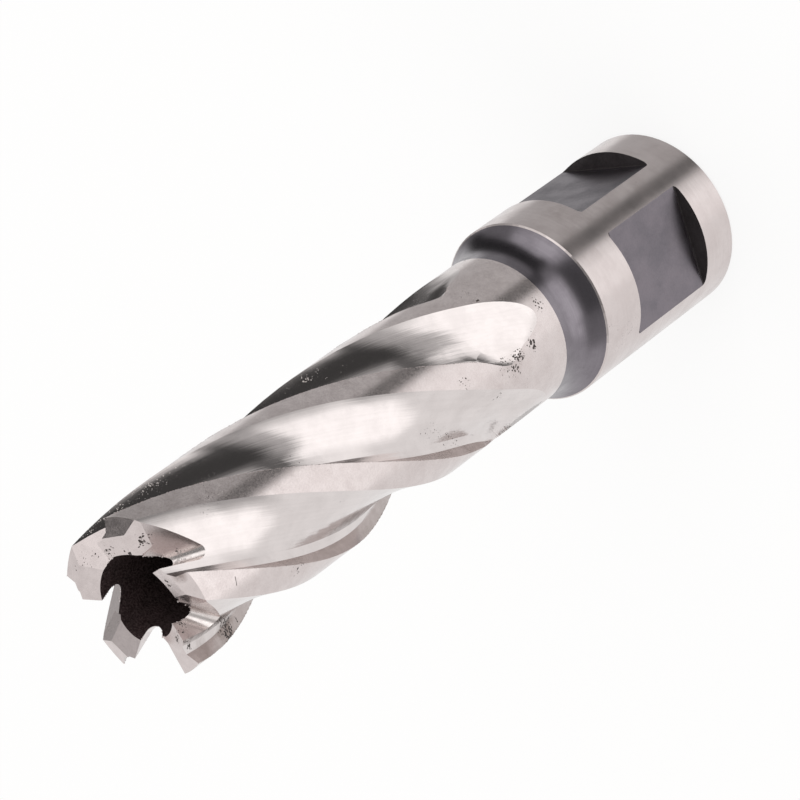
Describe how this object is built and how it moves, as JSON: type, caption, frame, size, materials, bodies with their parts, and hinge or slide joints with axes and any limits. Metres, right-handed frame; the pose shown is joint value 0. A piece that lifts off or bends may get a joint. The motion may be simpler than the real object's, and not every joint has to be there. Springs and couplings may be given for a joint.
{
  "type": "annular cutter",
  "caption": "Annular cutter for a magnetic drill: fluted hollow body with stepped end teeth on a side-lock shank with two set-screw flats.",
  "frame": {"origin": "centre of the shank's end face, on which the cutter stands", "axes": "+Z along the cutter's axis from the shank to the teeth; -Y through the ridge between the two set-screw flats, which face -X-Y and +X-Y"},
  "size_m": [0.019, 0.019, 0.0844],
  "materials": {
    "ground_steel": "ground, with a dark neck"
  },
  "bodies": {
    "root": {"annular_cutter": "ground_steel"}
  },
  "joints": []
}
